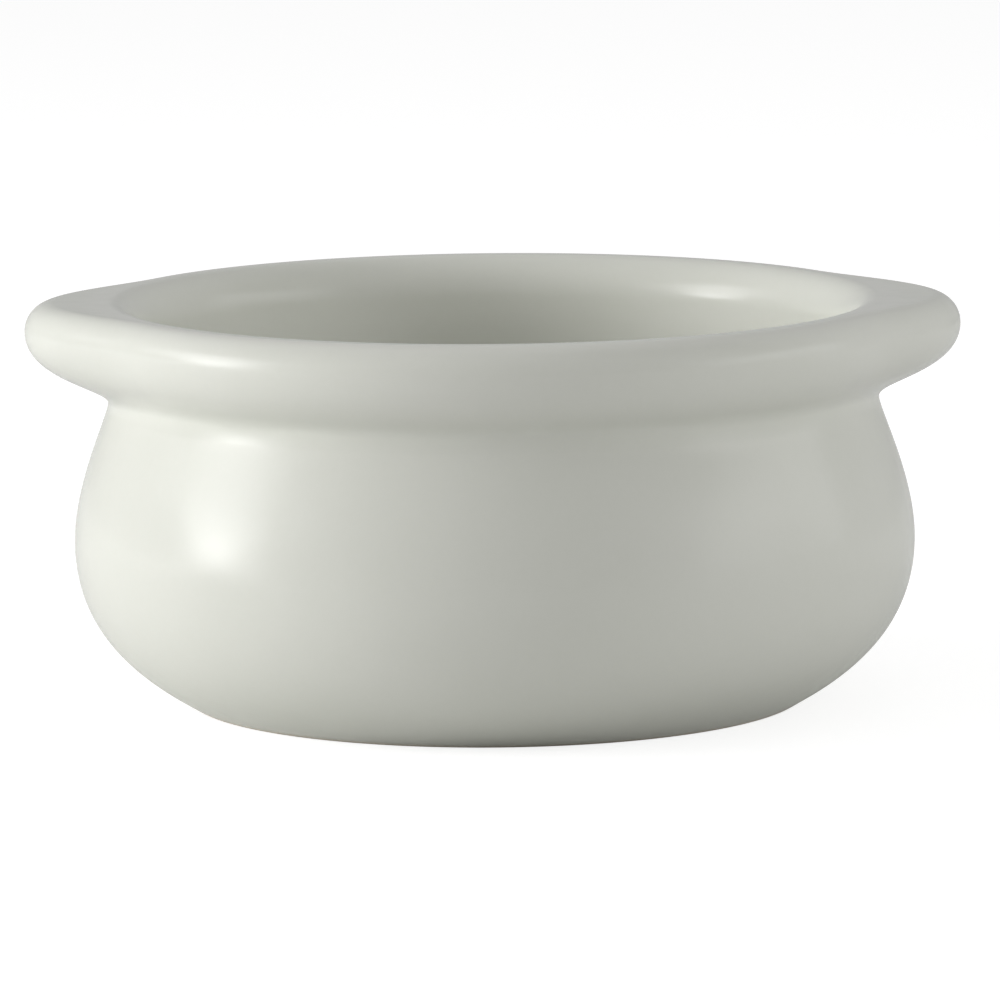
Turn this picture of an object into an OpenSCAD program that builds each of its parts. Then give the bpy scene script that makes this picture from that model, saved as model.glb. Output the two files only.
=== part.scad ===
// French onion soup crock: a round-bellied bowl on a low foot ring, with a rolled rim
// and two lugs drawn out of the rim, one on each side.
// Millimetres. Z is up, X runs through both lugs, Y = 0 is the plane that halves them,
// and the origin is the centre of the foot ring on the table.

/* [Bowl] */
// Diameter at the widest line of the belly
belly_d = 122.4; // [110:0.2:140]
// Height of the widest line of the belly
belly_height = 23.4; // [20:0.1:28]
// How far the neck is drawn in from the belly, on each side, at the seat of the rim
neck_draw = 5.1; // [2:0.1:8]
// Lean of the neck's outside at that seat, in degrees away from upright
neck_lean = 11; // [6:1:16]
// Height from the table to the crest of the rim
crock_height = 58.5; // [54:0.1:70]
// Thickness of the wall, all the way up to the mouth
wall = 4.8; // [3.6:0.1:6]
// Thickness of the floor above the recess of the foot
floor_thickness = 6; // [4:0.5:9]
// Width of the round corner between the level floor and the inside of the belly
inner_corner = 17.4; // [10:0.2:24]
// Slope of foot ring and belly where they meet, in degrees away from upright
foot_flare = 59; // [50:1:66]
// Share of the way out to the belly over which it keeps that slope
foot_slope_share = 0.59; // [0.45:0.01:0.75]
// Share of the belly's lower half over which it keeps upright below its widest line
belly_low_share = 0.47; // [0.3:0.01:0.6]
// Share of the belly's upper half over which it keeps upright above its widest line
belly_high_share = 0.41; // [0.25:0.01:0.55]
// Share of the same upper half over which the neck keeps its lean below the seat
neck_share = 0.13; // [0.08:0.01:0.3]

/* [Foot ring] */
// Outer diameter of the foot ring at its joint with the bowl
foot_d = 94.6; // [85:0.2:100]
// Height of the foot ring, and so the depth of the recess inside it
foot_height = 1.5; // [1.4:0.1:2.5]
// Width of the flat face that the crock stands on
foot_land = 4; // [2.5:0.5:6]
// How far the inner side of the ring leans outward from joint to table
foot_draft = 0.8; // [0.3:0.1:1.5]

/* [Rim roll] */
// How far the rolled rim stands out beyond the neck, on each side
rim_overhang = 4.7; // [4:0.1:8]
// Height of rim and lugs, from their seat on the neck to the crest
rim_height = 15.2; // [13:0.1:18]
// Rounding of the outer top edge of rim and lugs
rim_edge_r = 4.2; // [3:0.1:4.6]
// Width of the level crest along the top of the rim
crest_land = 0.8; // [0.4:0.1:1.4]
// Height of the neck between the seat and the crease under the rolled rim
rim_collar = 1.9; // [1:0.1:2.4]
// Depth of the rounding from the crest down into the mouth
lip_depth = 6; // [4:0.5:8]
// Share of the underside's height over which the crease keeps upright before it turns out
crease_share = 0.27; // [0.15:0.01:0.3]
// Share of the underside's height over which it keeps upright below the outermost line
underside_share = 0.68; // [0.5:0.01:0.7]

/* [Lugs] */
// How far the tip of a lug stands out beyond the rolled rim
lug_reach = 7.2; // [4:0.1:12]
// Angle, either side of the X axis, over which a lug grows out of the round rim
lug_half_angle = 31; // [22:1:40]
// Height of the neck between the seat and the crease under a lug's tip
lug_collar = 0.6; // [0.3:0.1:0.9]

/* [Hidden] */
$fn = 180;

// Radii and heights that follow from the sizes above
belly_r = belly_d / 2;
neck_r = belly_r - neck_draw;
mouth_r = neck_r - wall;
rim_r = neck_r + rim_overhang;
crest_r = rim_r - rim_edge_r - crest_land;
foot_r = foot_d / 2;
land_outer_r = foot_r - foot_height * tan(foot_flare);
land_inner_r = land_outer_r - foot_land;
neck_height = crock_height - rim_height;
edge_height = crock_height - rim_edge_r;
floor_top = foot_height + floor_thickness;

// Steps along each curve and across each lug, and the handle that makes a curve round
curve_steps = 20;
collar_steps = 3;
under_steps = 11;
edge_steps = 8;
lip_steps = 7;
lug_steps = 24;
round_share = 0.5523;

// Glazed and bare colours, a shade apart so that the pieces can be told from each other
glaze_colour = [0.86, 0.87, 0.84];
rim_colour = [0.80, 0.82, 0.78];
lug_colour = [0.73, 0.76, 0.71];
bare_colour = [0.80, 0.74, 0.64];

// One point of the curve that leaves a towards b and arrives at d from c
function curve_point(a, b, c, d, t) =
    pow(1 - t, 3) * a + 3 * pow(1 - t, 2) * t * b + 3 * (1 - t) * t * t * c + pow(t, 3) * d;

// The points of that curve after its first one
function curve(a, b, c, d, steps) =
    [for (i = [1 : steps]) curve_point(a, b, c, d, i / steps)];

// A quarter of a round or oval from a to d, level at a and upright at d
function quarter_level_first(a, d, steps) =
    curve(a, [a[0] + (d[0] - a[0]) * round_share, a[1]],
        [d[0], d[1] + (a[1] - d[1]) * round_share], d, steps);

// A quarter of a round or oval from a to d, upright at a and level at d
function quarter_upright_first(a, d, steps) =
    curve(a, [a[0], a[1] + (d[1] - a[1]) * round_share],
        [d[0] + (a[0] - d[0]) * round_share, d[1]], d, steps);

// An upright curve from a to d that keeps upright over a share of its height at each end
function upright_curve(a, d, low_share, high_share, steps) =
    let (rise = d[1] - a[1])
    curve(a, a + [0, rise * low_share], d - [0, rise * high_share], d, steps);

// Points of a list in the opposite order
function reversed(points) = [for (i = [len(points) - 1 : -1 : 0]) points[i]];

// The side of the bowl from its widest line up to the neck, set in by the given depth and
// leaning in by the given angle where it ends
function upper_side(inset, lean) =
    let (
        widest = [belly_r - inset, belly_height],
        end = [neck_r - inset, neck_height],
        rise = neck_height - belly_height
    )
    curve(widest, widest + [0, rise * belly_high_share],
        end + rise * neck_share * [tan(lean), -1], end, curve_steps);

// The outer side of the bowl from the foot up to its widest line
function lower_side() =
    let (
        start = [foot_r, foot_height],
        widest = [belly_r, belly_height],
        slope = [1, 1 / tan(foot_flare)]
    )
    concat([start],
        curve(start, start + (belly_r - foot_r) * foot_slope_share * slope,
            widest - [0, (belly_height - foot_height) * belly_low_share], widest, curve_steps));

// The inner side from the level floor up to the widest line
function inner_side() =
    let (start = [belly_r - wall - inner_corner, floor_top])
    concat([start], quarter_level_first(start, [belly_r - wall, belly_height], curve_steps));

// The neck between the seat and the crease: it loses its lean evenly, so it closes in by
// half of what the lean would give over the whole height, and the crease is upright
function crease_above(seat, collar) = seat + collar * [-tan(neck_lean) / 2, 1];

function collar_curve(seat, crease) =
    let (bend = [crease[0], (seat[1] + crease[1]) / 2])
    curve(seat, seat + (bend - seat) * 2 / 3, crease + (bend - crease) * 2 / 3, crease,
        collar_steps);

// Section through rim or lug, from the seat outside, under the edge, over the crest and
// down into the mouth: reach is the outermost radius, collar the height up to the crease
function rim_section(reach, collar) =
    let (
        seat = [neck_r, neck_height],
        crease = crease_above(seat, collar),
        outermost = [reach, edge_height],
        shoulder = [reach - rim_edge_r, crock_height],
        crest = [crest_r, crock_height],
        lip = [mouth_r, crock_height - lip_depth]
    )
    concat([seat],
        collar_curve(seat, crease),
        upright_curve(crease, outermost, crease_share, underside_share, under_steps),
        quarter_upright_first(outermost, shoulder, edge_steps),
        [crest],
        quarter_level_first(crest, lip, lip_steps),
        [[mouth_r, neck_height]]);

// The bowl: level floor, round belly and drawn-in neck, turned in one piece
module bowl() {
    color(glaze_colour)
        rotate_extrude()
            polygon(concat(
                [[0, foot_height]],
                lower_side(),
                upper_side(0, neck_lean),
                reversed(upper_side(wall, 0)),
                reversed(inner_side()),
                [[0, floor_top]]
            ));
}

// The foot ring: flat bare face below, outer side in line with the belly that it carries
module foot_ring() {
    color(bare_colour)
        rotate_extrude()
            polygon([
                [land_inner_r - foot_draft, foot_height],
                [land_inner_r, 0],
                [land_outer_r, 0],
                [foot_r, foot_height]
            ]);
}

// A stretch of the round rim between the two lugs, starting at the given angle
module rim_stretch(start) {
    color(rim_colour)
        rotate([0, 0, start])
            rotate_extrude(angle = 180 - 2 * lug_half_angle)
                polygon(rim_section(rim_r, rim_collar));
}

module back_rim_roll() {
    rim_stretch(lug_half_angle);
}

module front_rim_roll() {
    rim_stretch(180 + lug_half_angle);
}

// Angle of one section across a lug
function lug_angle(i) = lug_half_angle * (2 * i / lug_steps - 1);

// How far a lug is grown at an angle from its own middle: 1 at the tip, 0 at its ends
function growth(angle) = pow(cos(90 * angle / lug_half_angle), 2);

// The section of a lug at one angle: the round rim's at both ends, the tip's in the middle
function lug_section(i) =
    let (grown = growth(lug_angle(i)))
    rim_section(rim_r + lug_reach * grown, rim_collar + (lug_collar - rim_collar) * grown);

// A lug: sections from one end to the other, skinned all round and closed at both ends
module lug() {
    sections = [for (i = [0 : lug_steps]) lug_section(i)];
    count = len(sections[0]);
    corners = [
        for (i = [0 : lug_steps])
            for (p = sections[i])
                [p[0] * cos(lug_angle(i)), p[0] * sin(lug_angle(i)), p[1]]
    ];
    sides = [
        for (i = [0 : lug_steps - 1])
            for (j = [0 : count - 1])
                let (a = i * count + j, b = i * count + (j + 1) % count)
                each [[a, a + count, b], [b, a + count, b + count]]
    ];
    first_end = [for (j = [0 : count - 1]) j];
    last_end = [for (j = [count - 1 : -1 : 0]) lug_steps * count + j];
    color(lug_colour)
        polyhedron(corners, concat(sides, [first_end, last_end]), convexity = 4);
}

module right_lug() {
    lug();
}

module left_lug() {
    rotate([0, 0, 180])
        lug();
}

bowl();
foot_ring();
front_rim_roll();
back_rim_roll();
left_lug();
right_lug();
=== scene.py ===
import bpy
import numpy as np
from mathutils import Matrix


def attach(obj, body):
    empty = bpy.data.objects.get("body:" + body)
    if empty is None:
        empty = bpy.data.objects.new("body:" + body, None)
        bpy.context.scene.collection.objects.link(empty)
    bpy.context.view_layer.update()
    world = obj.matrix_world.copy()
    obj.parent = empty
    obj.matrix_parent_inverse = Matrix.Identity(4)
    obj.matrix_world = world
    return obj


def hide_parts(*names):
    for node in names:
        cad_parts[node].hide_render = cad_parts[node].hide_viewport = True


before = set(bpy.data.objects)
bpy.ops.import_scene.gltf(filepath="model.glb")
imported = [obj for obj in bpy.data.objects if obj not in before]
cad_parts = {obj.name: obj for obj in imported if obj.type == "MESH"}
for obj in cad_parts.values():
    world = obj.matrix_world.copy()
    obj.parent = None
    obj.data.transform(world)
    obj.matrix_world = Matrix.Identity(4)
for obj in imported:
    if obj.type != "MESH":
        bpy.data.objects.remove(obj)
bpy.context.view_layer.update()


# Bowl
# The body of the crock, from the floor up to the narrow neck: white stoneware shaped on a
# wheel in one piece, then dipped in an off-white glaze that fuses to it in the kiln.

BELLY_RADIUS = 0.0612
BELLY_HEIGHT = 0.0234
NECK_RADIUS = 0.0561
NECK_HEIGHT = 0.0433
NECK_LEAN = np.radians(11)
WALL = 0.0048
INNER_CORNER = 0.0174
FLOOR_TOP = 0.0075
FOOT_RADIUS = 0.0473
FOOT_HEIGHT = 0.0015
FOOT_FLARE = np.radians(59)
FOOT_SLOPE_SHARE = 0.59
BELLY_LOW_SHARE = 0.47
BELLY_HIGH_SHARE = 0.41
NECK_SHARE = 0.13
ROUND_SHARE = 0.5523

# A point nearer to the upright axis than this counts as lying on it
ON_AXIS = 1e-6

# Steps round a whole turn and along each run of the section
TURN_STEPS = 360
UPPER_STEPS = 44
LOWER_STEPS = 48
INNER_STEPS = 36
FLAT_STEPS = 8


def run_between(a, b, c, d, steps):
    """A run of the section that leaves a towards b and reaches d from c, with directions.

    A point is (1-t)^3 a + 3 (1-t)^2 t b + 3 (1-t) t^2 c + t^3 d for t from 0 to 1, and the
    direction there is the slope of that sum, 3 (1-t)^2 (b-a) + 6 (1-t) t (c-b) + 3 t^2 (d-c).
    """
    a, b, c, d = (np.array(p, float) for p in (a, b, c, d))
    t = np.linspace(0, 1, steps + 1)[:, None]
    u = 1 - t
    points = u**3 * a + 3 * u**2 * t * b + 3 * u * t**2 * c + t**3 * d
    return points, 3 * u**2 * (b - a) + 6 * u * t * (c - b) + 3 * t**2 * (d - c)


def straight_run(a, d, steps=1):
    """A straight run of the section from a to d, in equal steps."""
    a, d = np.array(a, float), np.array(d, float)
    return run_between(a, a + (d - a) / 3, d - (d - a) / 3, d, steps)


def level_first(a, d, steps):
    """A quarter of an oval from a to d that is level at a and upright at d.

    At either end it heads for the corner between them, over ROUND_SHARE of the way there.
    """
    b = [a[0] + (d[0] - a[0]) * ROUND_SHARE, a[1]]
    c = [d[0], d[1] + (a[1] - d[1]) * ROUND_SHARE]
    return run_between(a, b, c, d, steps)


def upright_first(a, d, steps):
    """The same quarter turned over, so that it is upright at a and level at d."""
    b = [a[0], a[1] + (d[1] - a[1]) * ROUND_SHARE]
    c = [d[0] + (a[0] - d[0]) * ROUND_SHARE, d[1]]
    return run_between(a, b, c, d, steps)


def upright_run(a, d, low_share, high_share, steps):
    """A run from a to d that keeps upright over a share of its height at either end."""
    rise = d[1] - a[1]
    b = [a[0], a[1] + low_share * rise]
    c = [d[0], d[1] - high_share * rise]
    return run_between(a, b, c, d, steps)


def backwards(run):
    """The same run, walked from its end to its start."""
    return run[0][::-1], -run[1][::-1]


def section_of(*runs):
    """The runs of a section joined end to end, as points and directions.

    Each step between two points has the direction in which it leaves the first and the one
    in which it reaches the second, so that an edge between two runs stays crisp.
    """
    points = np.concatenate([run[0][:-1] for run in runs] + [runs[-1][0][-1:]])
    leaving = np.concatenate([run[1][:-1] for run in runs])
    reaching = np.concatenate([run[1][1:] for run in runs])
    return points, leaving, reaching


def section_normals(directions, points, change, angles):
    """The outward normals of a section carried round the upright axis.

    Where the section heads (dr, dz) the normal is (dz, -dr) in its own plane, leaned along
    the turn by (z' dr - r' dz) / r, where r' and z' are the section's change with the angle.
    """
    dr, dz = directions[..., 0], directions[..., 1]
    lean = (change[..., 1] * dr - change[..., 0] * dz) / np.maximum(points[..., 0], ON_AXIS)
    cos, sin = np.cos(angles)[:, None], np.sin(angles)[:, None]
    normals = np.stack([dz * cos - lean * sin, dz * sin + lean * cos, -dr], axis=-1)
    return normals / np.linalg.norm(normals, axis=-1, keepdims=True)


def turned_piece(name, angles, section, tip=None, growth=0.0, slope=0.0, whole=False):
    """A piece skinned over a section that is carried round the upright axis.

    At each angle the section is the plain one plus growth times (tip section less plain
    one), and slope is the growth's change with the angle. A whole turn closes on itself,
    and a stretch of a turn is closed by a flat cap at either end. The corners where a
    section touches the axis or closes on itself are merged.
    """
    tip = section if tip is None else tip
    rows = len(angles)
    growth = np.broadcast_to(growth, rows)[:, None, None]
    slope = np.broadcast_to(slope, rows)[:, None, None]
    points, leaving, reaching = (s + growth * (t - s) for s, t in zip(section, tip))
    change = slope * (tip[0] - section[0])
    radius, height = points[..., 0], points[..., 1]
    places = np.stack([radius * np.cos(angles)[:, None], radius * np.sin(angles)[:, None],
                       height], axis=-1)
    starts = section_normals(leaving, points[:, :-1], change[:, :-1], angles)
    ends = section_normals(reaching, points[:, 1:], change[:, 1:], angles)

    count = points.shape[1]
    # Points on the axis are one for all angles, and a closed section ends where it starts
    index = np.arange(rows * count).reshape(rows, count)
    poles = section[0][:, 0] < ON_AXIS
    index[:, poles] = index[:1, poles]
    if np.allclose(section[0][0], section[0][-1]):
        index[:, -1] = index[:, 0]
    if whole:
        index, starts, ends = (np.concatenate([g, g[:1]]) for g in (index, starts, ends))
    a, b, c, d = index[:-1, :-1], index[1:, :-1], index[1:, 1:], index[:-1, 1:]
    na, nb, nc, nd = starts[:-1], starts[1:], ends[1:], ends[:-1]

    # Each face has four corners, or three where one of its sides shrinks to the axis
    from_pole, to_pole = a == b, c == d
    plain = ~from_pole & ~to_pole
    faces, normals = [], []
    for chosen, corners, directions in (
        (plain, (a, b, c, d), (na, nb, nc, nd)),
        (from_pole, (a, c, d), (na, nc, nd)),
        (to_pole, (a, b, c), (na, nb, nc)),
    ):
        faces += np.stack([g[chosen] for g in corners], axis=-1).tolist()
        normals.append(np.stack([g[chosen] for g in directions], axis=1).reshape(-1, 3))
    if not whole:
        for row, sign in ((0, 1), (-1, -1)):
            faces.append(index[row, :-1][::sign].tolist())
            outward = sign * np.array([np.sin(angles[row]), -np.cos(angles[row]), 0])
            normals.append(np.broadcast_to(outward, (count - 1, 3)))

    # Only the points that a face uses go into the mesh
    used, renumbered = np.unique(np.concatenate([np.array(f) for f in faces]),
                                 return_inverse=True)
    sizes = np.cumsum([len(f) for f in faces])[:-1]
    mesh = bpy.data.meshes.new(name)
    mesh.from_pydata(places.reshape(-1, 3)[used].tolist(), [],
                     [f.tolist() for f in np.split(renumbered, sizes)])
    mesh.shade_smooth()
    mesh.normals_split_custom_set(np.concatenate(normals).tolist())
    piece = bpy.data.objects.new(name, mesh)
    bpy.context.scene.collection.objects.link(piece)
    return piece


def side_above_belly(inset, lean):
    """The side of the bowl from its widest line up to the neck, set in by a depth.

    It stands upright at the widest line and leans in by an angle where it reaches the neck.
    """
    widest = np.array([BELLY_RADIUS - inset, BELLY_HEIGHT])
    end = np.array([NECK_RADIUS - inset, NECK_HEIGHT])
    rise = NECK_HEIGHT - BELLY_HEIGHT
    return run_between(widest, widest + [0, rise * BELLY_HIGH_SHARE],
                       end + rise * NECK_SHARE * np.array([np.tan(lean), -1]), end,
                       UPPER_STEPS)


foot_corner = np.array([FOOT_RADIUS, FOOT_HEIGHT])
belly_line = np.array([BELLY_RADIUS, BELLY_HEIGHT])
foot_slope = np.array([1, 1 / np.tan(FOOT_FLARE)])
side_below_belly = run_between(
    foot_corner, foot_corner + (BELLY_RADIUS - FOOT_RADIUS) * FOOT_SLOPE_SHARE * foot_slope,
    belly_line - [0, (BELLY_HEIGHT - FOOT_HEIGHT) * BELLY_LOW_SHARE], belly_line,
    LOWER_STEPS)
floor_edge = (BELLY_RADIUS - WALL - INNER_CORNER, FLOOR_TOP)
bowl_section = section_of(
    straight_run((0, FOOT_HEIGHT), foot_corner, FLAT_STEPS),
    side_below_belly,
    side_above_belly(0, NECK_LEAN),
    straight_run((NECK_RADIUS, NECK_HEIGHT), (NECK_RADIUS - WALL, NECK_HEIGHT)),
    backwards(side_above_belly(WALL, 0)),
    backwards(level_first(floor_edge, (BELLY_RADIUS - WALL, BELLY_HEIGHT), INNER_STEPS)),
    straight_run(floor_edge, (0, FLOOR_TOP), FLAT_STEPS),
)
whole_turn = np.arange(TURN_STEPS) * 2 * np.pi / TURN_STEPS
bowl = turned_piece("glazed_bowl", whole_turn, bowl_section, whole=True)


def socket(group, name, kind, output=False, value=None):
    """A named socket of a shared effect."""
    made = group.interface.new_socket(
        name, in_out="OUTPUT" if output else "INPUT", socket_type="NodeSocket" + kind)
    if value is not None:
        made.default_value = value


def feed(group, place, value):
    """A node's input set to a number or a colour, or linked to another node's output."""
    if isinstance(value, bpy.types.NodeSocket):
        group.links.new(value, place)
    else:
        place.default_value = value


def math_node(group, operation, *values):
    """A sum worked out by a node from numbers or from other nodes' outputs."""
    node = group.nodes.new("ShaderNodeMath")
    node.operation = operation
    for place, value in zip(node.inputs, values):
        feed(group, place, value)
    return node.outputs[0]


def colour_mix(group, factor, first, second):
    """Two colours laid together by a factor that is a number or another node's output.

    The node's factor is input 0, its two colours are inputs 6 and 7, and output 2 has the mix.
    """
    node = group.nodes.new("ShaderNodeMix")
    node.data_type = "RGBA"
    feed(group, node.inputs[0], factor)
    feed(group, node.inputs[6], first)
    feed(group, node.inputs[7], second)
    return node.outputs[2]


def ring_mask(group, spots, radius, height, reach):
    """How near a point is to a ring round the axis: 1 on the ring, 0 past its reach."""
    across = math_node(group, "SUBTRACT", spots["radius"], radius)
    above = math_node(group, "SUBTRACT", spots["height"], height)
    apart = math_node(group, "SQRT", math_node(
        group, "ADD", math_node(group, "MULTIPLY", across, across),
        math_node(group, "MULTIPLY", above, above)))
    node = group.nodes.new("ShaderNodeMapRange")
    node.interpolation_type = "SMOOTHERSTEP"
    group.links.new(apart, node.inputs["Value"])
    node.inputs["From Min"].default_value = 0
    node.inputs["From Max"].default_value = reach
    node.inputs["To Min"].default_value = 1
    node.inputs["To Max"].default_value = 0
    return node.outputs[0]


def noise(group, vector, scale, detail=2.0, roughness=0.5):
    """Soft cloudy variation between 0 and 1, with so many clouds to the metre."""
    node = group.nodes.new("ShaderNodeTexNoise")
    node.inputs["Scale"].default_value = scale
    node.inputs["Detail"].default_value = detail
    node.inputs["Roughness"].default_value = roughness
    group.links.new(vector, node.inputs["Vector"])
    return node.outputs["Fac"]


def either_way(group, value, amount):
    """A variation between 0 and 1, centred on nothing and scaled to an amount."""
    return math_node(group, "MULTIPLY", math_node(group, "SUBTRACT", value, 0.5), amount)


def cylinder_spots(group, vector):
    """A point's distance from the upright axis and its height above the table."""
    split = group.nodes.new("ShaderNodeSeparateXYZ")
    group.links.new(vector, split.inputs[0])
    x, y, z = split.outputs
    radius = math_node(group, "SQRT", math_node(
        group, "ADD", math_node(group, "MULTIPLY", x, x), math_node(group, "MULTIPLY", y, y)))
    return {"radius": radius, "height": z}


THIN_COLOUR = (0.72, 0.725, 0.672, 1)
DEEP_GLAZE_AND_SHADE_COLOUR = (0.66, 0.676, 0.605, 1)
GLOSS = 0.18
GLASS_IOR = 1.5

# Rings round the axis where the glaze is deeper or thinner: radius, height and reach. The
# deeper glaze in the crease and the inner corner also stands in as painted shade there
CREASE_POOL_AND_SHADE_RING = (0.0565, 0.0456, 0.0036)
CORNER_POOL_AND_SHADE_RING = (0.0475, 0.0095, 0.0130)
CREST_RING = (0.0569, 0.0578, 0.0042)

# How much each of them, and the clouds and the mottle, count towards the deep colour, which
# is painted shade as well as deeper glaze in the crease and the inner corner
EVEN_DEPTH = 0.30
CREASE_POOL_AND_SHADE = 0.22
CORNER_POOL_AND_SHADE = 0.35
CREST_THINNING = 0.35
CLOUD_DEPTH = 0.55
MOTTLE_DEPTH = 0.22

# How many clouds of each kind there are to the metre
CLOUD_SCALE = 42
MOTTLE_SCALE = 900
SWELL_SCALE = 55
PEEL_SCALE = 420

# Height of the swells in metres, and what the orange peel adds to height and roughness
SWELL_HEIGHT = 0.00016
PEEL_HEIGHT_SHARE = 0.035
PEEL_ROUGHNESS = 0.05


def make_glaze_effect():
    """The look of the glaze wherever it lies: colour, gloss and the unevenness of its face.

    It is deeper and greener in the crease under the rim and in the corner round the floor,
    partly where it gathers and partly as painted shade, draws thin over the crest, and is
    faintly cloudy all over. Its face has the long swells of the clay below it and a fine
    orange-peel ripple.
    """
    group = bpy.data.node_groups.new("glaze_face", "ShaderNodeTree")
    socket(group, "Place", "Vector")
    socket(group, "Thin colour", "Color", value=THIN_COLOUR)
    socket(group, "Deep glaze and shade colour", "Color", value=DEEP_GLAZE_AND_SHADE_COLOUR)
    socket(group, "Gloss", "Float", value=GLOSS)
    socket(group, "Colour", "Color", output=True)
    socket(group, "Roughness", "Float", output=True)
    socket(group, "Height", "Float", output=True)
    given = group.nodes.new("NodeGroupInput")
    place = given.outputs["Place"]
    spots = cylinder_spots(group, place)
    # The crease ring darkens the glaze, partly as glaze pooled there and partly as painted
    # shade
    crease = ring_mask(group, spots, *CREASE_POOL_AND_SHADE_RING)
    # The inner corner ring darkens the glaze round the floor, partly as pooled glaze and
    # partly as painted shade
    corner = ring_mask(group, spots, *CORNER_POOL_AND_SHADE_RING)
    crest = ring_mask(group, spots, *CREST_RING)
    clouds = noise(group, place, CLOUD_SCALE, detail=3, roughness=0.5)
    mottle = noise(group, place, MOTTLE_SCALE, detail=2, roughness=0.6)
    swells = noise(group, place, SWELL_SCALE, detail=1, roughness=0.4)
    peel = noise(group, place, PEEL_SCALE, detail=2, roughness=0.5)
    # Deeper glaze in the crease and the inner corner, which also stands in as painted shade
    # there
    pooled_and_shaded = math_node(group, "ADD", math_node(group, "MULTIPLY", crease, CREASE_POOL_AND_SHADE),
                         math_node(group, "MULTIPLY", corner, CORNER_POOL_AND_SHADE))
    drawn = math_node(group, "MULTIPLY", crest, CREST_THINNING)
    depth = math_node(group, "ADD", math_node(group, "SUBTRACT", pooled_and_shaded, drawn),
                      EVEN_DEPTH)
    shade = math_node(group, "ADD", math_node(group, "ADD", depth,
                                              either_way(group, clouds, CLOUD_DEPTH)),
                      either_way(group, mottle, MOTTLE_DEPTH))
    clamped = math_node(group, "MINIMUM", math_node(group, "MAXIMUM", shade, 0.0), 1.0)
    colour = colour_mix(group, clamped, given.outputs["Thin colour"],
                        given.outputs["Deep glaze and shade colour"])
    rough = math_node(group, "ADD", given.outputs["Gloss"],
                      either_way(group, peel, PEEL_ROUGHNESS))
    height = math_node(group, "ADD", swells,
                       math_node(group, "MULTIPLY", peel, PEEL_HEIGHT_SHARE))
    given_out = group.nodes.new("NodeGroupOutput")
    group.links.new(colour, given_out.inputs["Colour"])
    group.links.new(rough, given_out.inputs["Roughness"])
    group.links.new(height, given_out.inputs["Height"])
    return group


glaze_effect = make_glaze_effect()


def glazed_material(name):
    """A glazed stoneware finish: a pale clay colour under a clear, hard gloss."""
    material = bpy.data.materials.new(name)
    material.use_nodes = True
    tree = material.node_tree
    shader = tree.nodes["Principled BSDF"]
    coordinates = tree.nodes.new("ShaderNodeTexCoord")
    effect = tree.nodes.new("ShaderNodeGroup")
    effect.node_tree = glaze_effect
    bump = tree.nodes.new("ShaderNodeBump")
    bump.inputs["Strength"].default_value = 1.0
    bump.inputs["Distance"].default_value = SWELL_HEIGHT
    tree.links.new(coordinates.outputs["Object"], effect.inputs["Place"])
    tree.links.new(effect.outputs["Colour"], shader.inputs["Base Color"])
    tree.links.new(effect.outputs["Roughness"], shader.inputs["Roughness"])
    tree.links.new(effect.outputs["Height"], bump.inputs["Height"])
    tree.links.new(bump.outputs["Normal"], shader.inputs["Normal"])
    shader.inputs["IOR"].default_value = GLASS_IOR
    return material


off_white_glaze = glazed_material("off_white_glaze")
bowl.data.materials.append(off_white_glaze)
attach(bowl, "root")
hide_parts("bowl")


# Foot ring
# The low ring that the crock stands on: the same clay, trimmed to shape under the bowl.
# The glaze stops short of its face, which is wiped bare so that it can't stick in the kiln.

LAND_WIDTH = 0.0040
FOOT_DRAFT = 0.0008
SOFT_EDGE = 0.0004
SOFT_EDGE_STEPS = 8
FOOT_SIDE_STEPS = 12
FOOT_TOP_STEPS = 2

land_outer = np.array([FOOT_RADIUS - FOOT_HEIGHT * np.tan(FOOT_FLARE), 0])
land_inner = land_outer - [LAND_WIDTH, 0]
recess_corner = land_inner + [-FOOT_DRAFT, FOOT_HEIGHT]
soft_start = land_outer - [SOFT_EDGE, 0]
soft_end = land_outer + SOFT_EDGE * foot_slope / np.linalg.norm(foot_slope)
foot_section = section_of(
    straight_run(recess_corner, land_inner, FLAT_STEPS),
    straight_run(land_inner, soft_start, FLAT_STEPS),
    run_between(soft_start, land_outer, land_outer, soft_end, SOFT_EDGE_STEPS),
    straight_run(soft_end, foot_corner, FOOT_SIDE_STEPS),
    straight_run(foot_corner, recess_corner, FOOT_TOP_STEPS),
)
foot_ring = turned_piece("dry_foot_ring", whole_turn, foot_section, whole=True)


WIPE_LINE = 0.00042
WIPE_BLUR = 0.00008
WIPE_WOBBLE = 0.0002
WOBBLE_SCALE = 160
DARK_CLAY = (0.60, 0.56, 0.48, 1)
LIGHT_CLAY = (0.72, 0.68, 0.60, 1)
DRY_ROUGHNESS = 0.75
GRIT_SCALE = 2600
GRIT_HEIGHT = 0.00005
GRIT_STRENGTH = 0.6


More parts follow.
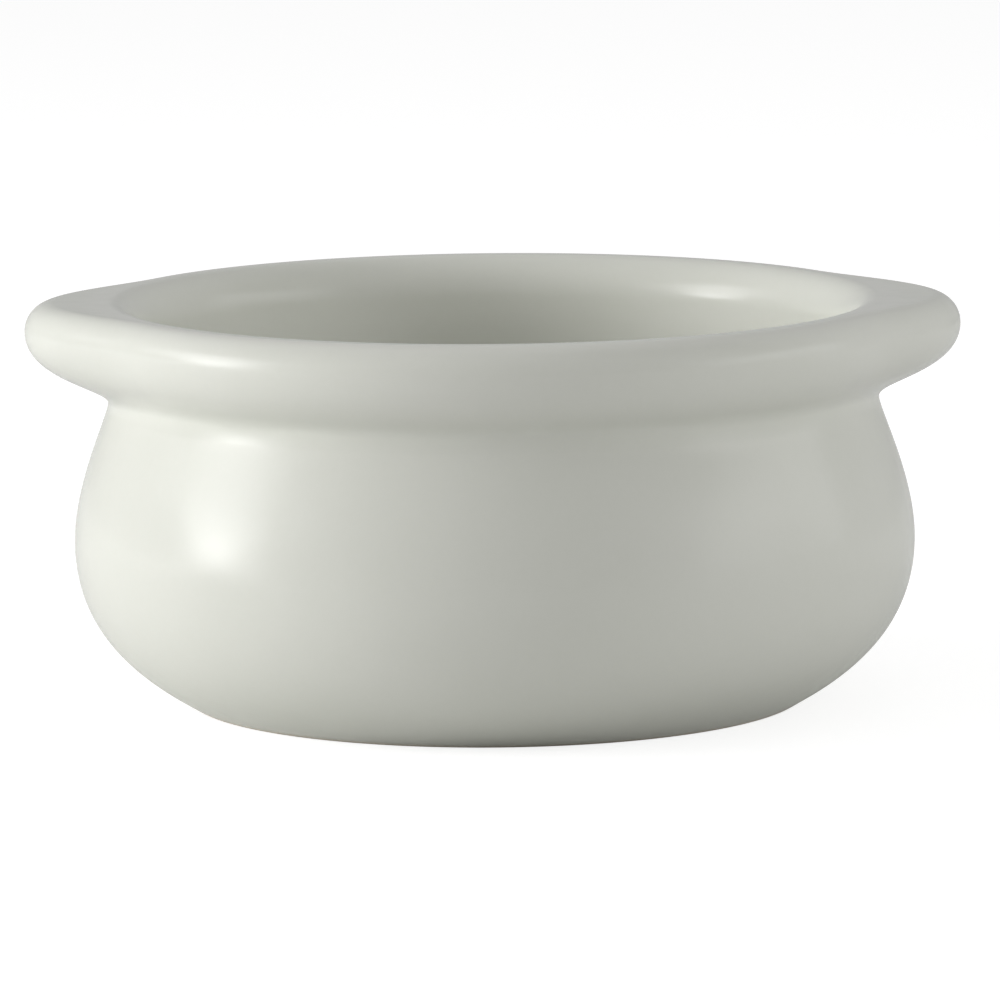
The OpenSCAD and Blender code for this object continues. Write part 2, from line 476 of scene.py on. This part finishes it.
def bare_foot_material():
    """Glaze down to a wavering line just above the table, and dry gritty clay below it."""
    material = bpy.data.materials.new("bare_foot_clay")
    material.use_nodes = True
    tree = material.node_tree
    shader = tree.nodes["Principled BSDF"]
    coordinates = tree.nodes.new("ShaderNodeTexCoord").outputs["Object"]
    effect = tree.nodes.new("ShaderNodeGroup")
    effect.node_tree = glaze_effect
    tree.links.new(coordinates, effect.inputs["Place"])
    height = cylinder_spots(tree, coordinates)["height"]
    wobble = either_way(tree, noise(tree, coordinates, WOBBLE_SCALE), WIPE_WOBBLE)
    edge = tree.nodes.new("ShaderNodeMapRange")
    tree.links.new(math_node(tree, "ADD", height, wobble), edge.inputs["Value"])
    edge.inputs["From Min"].default_value = WIPE_LINE - WIPE_BLUR / 2
    edge.inputs["From Max"].default_value = WIPE_LINE + WIPE_BLUR / 2
    glazed = edge.outputs[0]
    grit = noise(tree, coordinates, GRIT_SCALE, detail=3, roughness=0.7)
    clay = colour_mix(tree, grit, DARK_CLAY, LIGHT_CLAY)
    tree.links.new(colour_mix(tree, glazed, clay, effect.outputs["Colour"]),
                   shader.inputs["Base Color"])
    rough = math_node(tree, "ADD", math_node(tree, "MULTIPLY", glazed, math_node(
        tree, "SUBTRACT", effect.outputs["Roughness"], DRY_ROUGHNESS)), DRY_ROUGHNESS)
    tree.links.new(rough, shader.inputs["Roughness"])
    bump = tree.nodes.new("ShaderNodeBump")
    bump.inputs["Strength"].default_value = GRIT_STRENGTH
    bump.inputs["Distance"].default_value = GRIT_HEIGHT
    dry = math_node(tree, "SUBTRACT", 1.0, glazed)
    tree.links.new(math_node(tree, "MULTIPLY", dry, grit), bump.inputs["Height"])
    tree.links.new(bump.outputs["Normal"], shader.inputs["Normal"])
    shader.inputs["IOR"].default_value = GLASS_IOR
    return material


foot_ring.data.materials.append(bare_foot_material())
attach(foot_ring, "root")
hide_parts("foot_ring")


# Rolled rim, front and back
# The thick lip between the two lugs, folded over and rounded while the clay is soft, and
# luted to the neck. It has a shallow crease below it and the same glaze over it.

MOUTH_RADIUS = 0.0513
RIM_RADIUS = 0.0608
CROCK_HEIGHT = 0.0585
RIM_EDGE = 0.0042
CREST_RADIUS = 0.0558
RIM_COLLAR = 0.0019
LIP_DEPTH = 0.0060
CREASE_SHARE = 0.27
UNDERSIDE_SHARE = 0.68
LUG_HALF_ANGLE = np.radians(31)
COLLAR_STEPS = 8
UNDERSIDE_STEPS = 36
EDGE_STEPS = 20
CREST_STEPS = 3
LIP_STEPS = 20
MOUTH_STEPS = 4
RIM_ANGLES = 121


def rim_section(reach, collar):
    """The section of rim or lug out to a reach, over a collar that ends in the crease.

    Over the collar's height the outside turns evenly from the neck's lean to upright, so it
    closes in by half of what the lean would give.
    """
    seat = np.array([NECK_RADIUS, NECK_HEIGHT])
    crease = seat + collar * np.array([-np.tan(NECK_LEAN) / 2, 1])
    bend = np.array([crease[0], (seat[1] + crease[1]) / 2])
    outermost = (reach, CROCK_HEIGHT - RIM_EDGE)
    shoulder = (reach - RIM_EDGE, CROCK_HEIGHT)
    crest = (CREST_RADIUS, CROCK_HEIGHT)
    lip = (MOUTH_RADIUS, CROCK_HEIGHT - LIP_DEPTH)
    return section_of(
        run_between(seat, seat + (bend - seat) * 2 / 3, crease + (bend - crease) * 2 / 3,
                    crease, COLLAR_STEPS),
        upright_run(crease, outermost, CREASE_SHARE, UNDERSIDE_SHARE, UNDERSIDE_STEPS),
        upright_first(outermost, shoulder, EDGE_STEPS),
        straight_run(shoulder, crest, CREST_STEPS),
        level_first(crest, lip, LIP_STEPS),
        straight_run(lip, (MOUTH_RADIUS, NECK_HEIGHT), MOUTH_STEPS),
        straight_run((MOUTH_RADIUS, NECK_HEIGHT), seat),
    )


plain_rim = rim_section(RIM_RADIUS, RIM_COLLAR)
back_angles = np.linspace(LUG_HALF_ANGLE, np.pi - LUG_HALF_ANGLE, RIM_ANGLES)
back_rim = turned_piece("back_rim", back_angles, plain_rim)
front_rim = turned_piece("front_rim", back_angles + np.pi, plain_rim)
rim_glaze = glazed_material("rim_glaze")
for rim, node in ((back_rim, "back_rim_roll"), (front_rim, "front_rim_roll")):
    rim.data.materials.append(rim_glaze)
    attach(rim, "root")
    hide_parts(node)


# Lugs, left and right
# The two grips: the soft rim is drawn outward by hand on either side, so that each lug
# grows out of the rim without a line and is widest in its middle. Glazed like the rim.

LUG_REACH = 0.0072
LUG_COLLAR = 0.0006
LUG_ANGLES = 61

# A lug grows by the squared cosine of its angle, stretched so that it is 1 at the tip and 0
# at both ends, and the slope is how fast that changes with the angle
lug_tip = rim_section(RIM_RADIUS + LUG_REACH, LUG_COLLAR)
lug_angles = np.linspace(-LUG_HALF_ANGLE, LUG_HALF_ANGLE, LUG_ANGLES)
quarter_share = np.pi / 2 / LUG_HALF_ANGLE
lug_growth = np.cos(quarter_share * lug_angles) ** 2
lug_slope = -quarter_share * np.sin(2 * quarter_share * lug_angles)
for name, middle, node in (("right_grip", 0, "right_lug"), ("left_grip", np.pi, "left_lug")):
    lug = turned_piece(name, lug_angles + middle, plain_rim, lug_tip, lug_growth, lug_slope)
    lug.data.materials.append(rim_glaze)
    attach(lug, "root")
    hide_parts(node)


# Floor, lamps and camera
# A plain pale floor, one large soft lamp on the left with a bright middle, weaker ones on
# the right and overhead, and a long lens from a little above the rim.

FLOOR_SIZE = 4.0
FLOOR_SHADE = (0.4, 0.4, 0.4, 1)
FLOOR_GLOW = 0.79
FLOOR_GREY = (0.84, 0.84, 0.835, 1)
WHITE = (1, 1, 1, 1)
BACK_GLOW = 0.43
FRONT_GLOW = 0.40
FILL_DISTANCE = 1.3

# Lens and sensor are in millimetres, as a camera gives them
EYE_LENS = 271.6
SENSOR_WIDTH = 36
EYE_DISTANCE = 1.1
EYE_RISE = np.radians(8.21)
EYE_SIDE = np.radians(1.47)
EYE_ROLL = np.radians(-0.498)
LOOK_AT = np.array([0.0008, 0.0, 0.02865])
SIGHT_HEIGHT = 0.030

floor_mesh = bpy.data.meshes.new("floor")
far = FLOOR_SIZE / 2
floor_mesh.from_pydata([(-far, -far, 0), (far, -far, 0), (far, far, 0), (-far, far, 0)],
                       [], [(0, 1, 2, 3)])
floor = bpy.data.objects.new("floor", floor_mesh)
bpy.context.scene.collection.objects.link(floor)


def floor_material():
    """White where the camera sees it, with the crock's shadow, and a duller grey in gloss."""
    material = bpy.data.materials.new("pale_floor")
    material.use_nodes = True
    tree = material.node_tree
    tree.nodes.remove(tree.nodes["Principled BSDF"])
    out = tree.nodes["Material Output"]
    path = tree.nodes.new("ShaderNodeLightPath")
    seen = tree.nodes.new("ShaderNodeBsdfDiffuse")
    seen.inputs["Color"].default_value = FLOOR_SHADE
    glow = tree.nodes.new("ShaderNodeEmission")
    glow.inputs["Color"].default_value = WHITE
    glow.inputs["Strength"].default_value = FLOOR_GLOW
    white = tree.nodes.new("ShaderNodeAddShader")
    tree.links.new(seen.outputs[0], white.inputs[0])
    tree.links.new(glow.outputs[0], white.inputs[1])
    grey = tree.nodes.new("ShaderNodeBsdfDiffuse")
    grey.inputs["Color"].default_value = FLOOR_GREY
    mix = tree.nodes.new("ShaderNodeMixShader")
    tree.links.new(path.outputs["Is Camera Ray"], mix.inputs[0])
    tree.links.new(grey.outputs[0], mix.inputs[1])
    tree.links.new(white.outputs[0], mix.inputs[2])
    tree.links.new(mix.outputs[0], out.inputs["Surface"])
    return material


floor_mesh.materials.append(floor_material())

# The world is plain white to the camera. On the crock it glows softly from behind and from
# in front, and less from the sides and from above.
world = bpy.data.worlds.new("studio")
bpy.context.scene.world = world
world.use_nodes = True
sky = world.node_tree
path = sky.nodes.new("ShaderNodeLightPath")
ambient = sky.nodes["Background"]
ambient.inputs["Color"].default_value = WHITE
heading = sky.nodes.new("ShaderNodeSeparateXYZ")
sky.links.new(sky.nodes.new("ShaderNodeTexCoord").outputs["Generated"], heading.inputs[0])


def fade(value, low, high, first, last):
    """A soft change from one level to another as a value goes from low to high."""
    node = sky.nodes.new("ShaderNodeMapRange")
    node.interpolation_type = "SMOOTHSTEP"
    sky.links.new(value, node.inputs["Value"])
    for name, number in (("From Min", low), ("From Max", high),
                         ("To Min", first), ("To Max", last)):
        node.inputs[name].default_value = number
    return node.outputs[0]


back_level = fade(heading.outputs["Y"], low=-0.25, high=0.5, first=0, last=BACK_GLOW)
front_level = fade(heading.outputs["Y"], low=-0.5, high=0.25, first=FRONT_GLOW, last=0)
sky.links.new(math_node(sky, "ADD", back_level, front_level), ambient.inputs["Strength"])
backdrop = sky.nodes.new("ShaderNodeBackground")
backdrop.inputs["Color"].default_value = WHITE
backdrop.inputs["Strength"].default_value = 1.0
either = sky.nodes.new("ShaderNodeMixShader")
sky.links.new(path.outputs["Is Camera Ray"], either.inputs[0])
sky.links.new(ambient.outputs[0], either.inputs[1])
sky.links.new(backdrop.outputs[0], either.inputs[2])
sky.links.new(either.outputs[0], sky.nodes["World Output"].inputs["Surface"])


def lamp(name, side, rise, distance, width, height, glow, shape="RECTANGLE"):
    """A soft lamp at an angle round from the front, facing the crock.

    Its face is glow times as bright as white paper in plain light, so its power is glow
    times pi times the area of the face.
    """
    light = bpy.data.lights.new(name, "AREA")
    light.shape = shape
    light.size, light.size_y = width, height
    share = np.pi / 4 if shape == "ELLIPSE" else 1.0
    light.energy = glow * np.pi * width * height * share
    holder = bpy.data.objects.new(name, light)
    bpy.context.scene.collection.objects.link(holder)
    side, rise = np.radians(side), np.radians(rise)
    holder.location = (distance * np.cos(rise) * np.sin(side),
                       -distance * np.cos(rise) * np.cos(side),
                       SIGHT_HEIGHT + distance * np.sin(rise))
    holder.rotation_euler = (np.pi / 2 - rise, 0, side)
    return holder


lamp("left_softbox", side=-83.5, rise=20, distance=1.2, width=1.25, height=0.30, glow=0.6)
for name, side, rise, distance, width, height, glow in (
    ("left_softbox_top", -83, 26, 1.19, 0.70, 0.20, 1.6),
    ("left_softbox_middle", -83, 16, 1.18, 0.64, 0.40, 1.4),
    ("left_softbox_halo", -80.5, 7, 1.17, 0.70, 0.56, 0.9),
    ("left_softbox_glow", -80.5, 7, 1.165, 0.46, 0.38, 1.6),
    ("left_softbox_bulb", -80.5, 7, 1.16, 0.24, 0.20, 3.0),
):
    lamp(name, side, rise, distance, width, height, glow, "ELLIPSE")
lamp("right_softbox", side=82, rise=13, distance=1.2, width=1.15, height=0.50, glow=0.67)
for name, side, rise, width, height, glow in (
    ("left_fill", -90, 17, 0.80, 0.26, 10.6),
    ("left_low_fill", -80, 4, 0.80, 0.22, 4.2),
    ("right_fill", 85, 17, 0.80, 0.26, 6.0),
    ("top_fill", -40, 80, 1.0, 1.0, 0.55),
):
    lamp(name, side, rise, FILL_DISTANCE, width, height, glow).visible_glossy = False

# The camera stands a little to the left of straight in front, looks slightly down at
# LOOK_AT, and is rolled by a hair about its line of sight.
eye = bpy.data.cameras.new("camera")
eye.lens = EYE_LENS
eye.sensor_width = SENSOR_WIDTH
camera = bpy.data.objects.new("camera", eye)
bpy.context.scene.collection.objects.link(camera)
reach = EYE_DISTANCE * np.cos(EYE_RISE)
spot = np.array([-reach * np.sin(EYE_SIDE), -reach * np.cos(EYE_SIDE),
                 SIGHT_HEIGHT + EYE_DISTANCE * np.sin(EYE_RISE)])
backward = (spot - LOOK_AT) / np.linalg.norm(spot - LOOK_AT)
right = np.cross([0, 0, 1], backward)
right /= np.linalg.norm(right)
up = np.cross(backward, right)
right, up = (np.cos(EYE_ROLL) * right + np.sin(EYE_ROLL) * up,
             np.cos(EYE_ROLL) * up - np.sin(EYE_ROLL) * right)
camera.matrix_world = Matrix(np.vstack([np.column_stack([right, up, backward, spot]),
                                        [0, 0, 0, 1]]).tolist())
bpy.context.scene.camera = camera
bpy.context.scene.view_settings.view_transform = "Standard"
